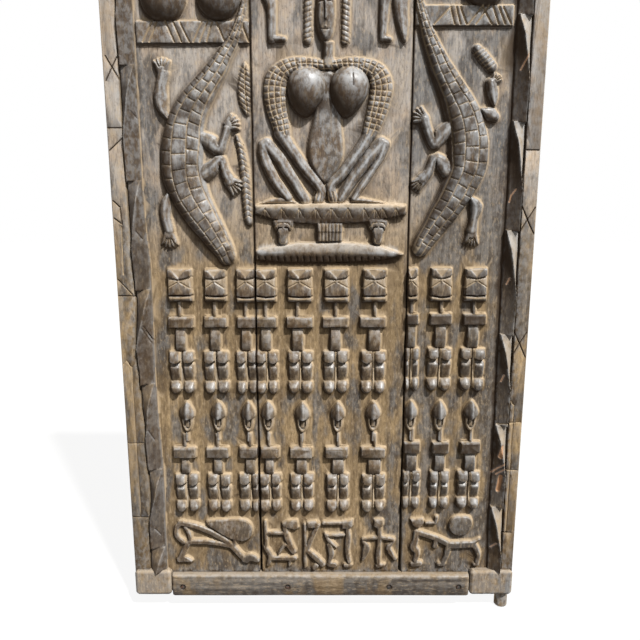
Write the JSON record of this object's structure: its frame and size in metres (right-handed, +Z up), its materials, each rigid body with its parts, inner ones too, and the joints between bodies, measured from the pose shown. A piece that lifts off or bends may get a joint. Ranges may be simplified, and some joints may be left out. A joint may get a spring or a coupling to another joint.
{
  "type": "granary door",
  "caption": "Carved wooden granary door leaf of thick nailed planks with rails, back ledges and pintles to turn on, its face in high relief.",
  "frame": {"origin": "on the axis of the two pintles, level with the lowest edge of the feet, where the bottom pintle leaves the leaf", "axes": "+X across the leaf away from its free edge (the leaf lies towards -X), carved face towards -Y, back towards +Y, +Z up along the pintles"},
  "size_m": [1, 0.1014, 1.876],
  "materials": {
    "carved_wood": "old carved hardwood, dusty in the recesses and rubbed bright on the high spots",
    "rail_wood": "grey weathered hardwood, rounded by wear",
    "batten_wood": "rough adzed hardwood, unfinished",
    "forged_iron": "dark rusted wrought iron"
  },
  "bodies": {
    "root": {"plank_left": "carved_wood", "plank_centre": "carved_wood", "plank_right": "carved_wood", "bottom_rail": "rail_wood", "top_rail": "rail_wood", "back_batten_lower": "batten_wood", "back_batten_middle": "batten_wood", "back_batten_upper": "batten_wood", "bottom_rail_nails": "forged_iron", "top_rail_nails": "forged_iron", "lower_batten_nails": "forged_iron", "middle_batten_nails": "forged_iron", "upper_batten_nails": "forged_iron"}
  },
  "joints": []
}
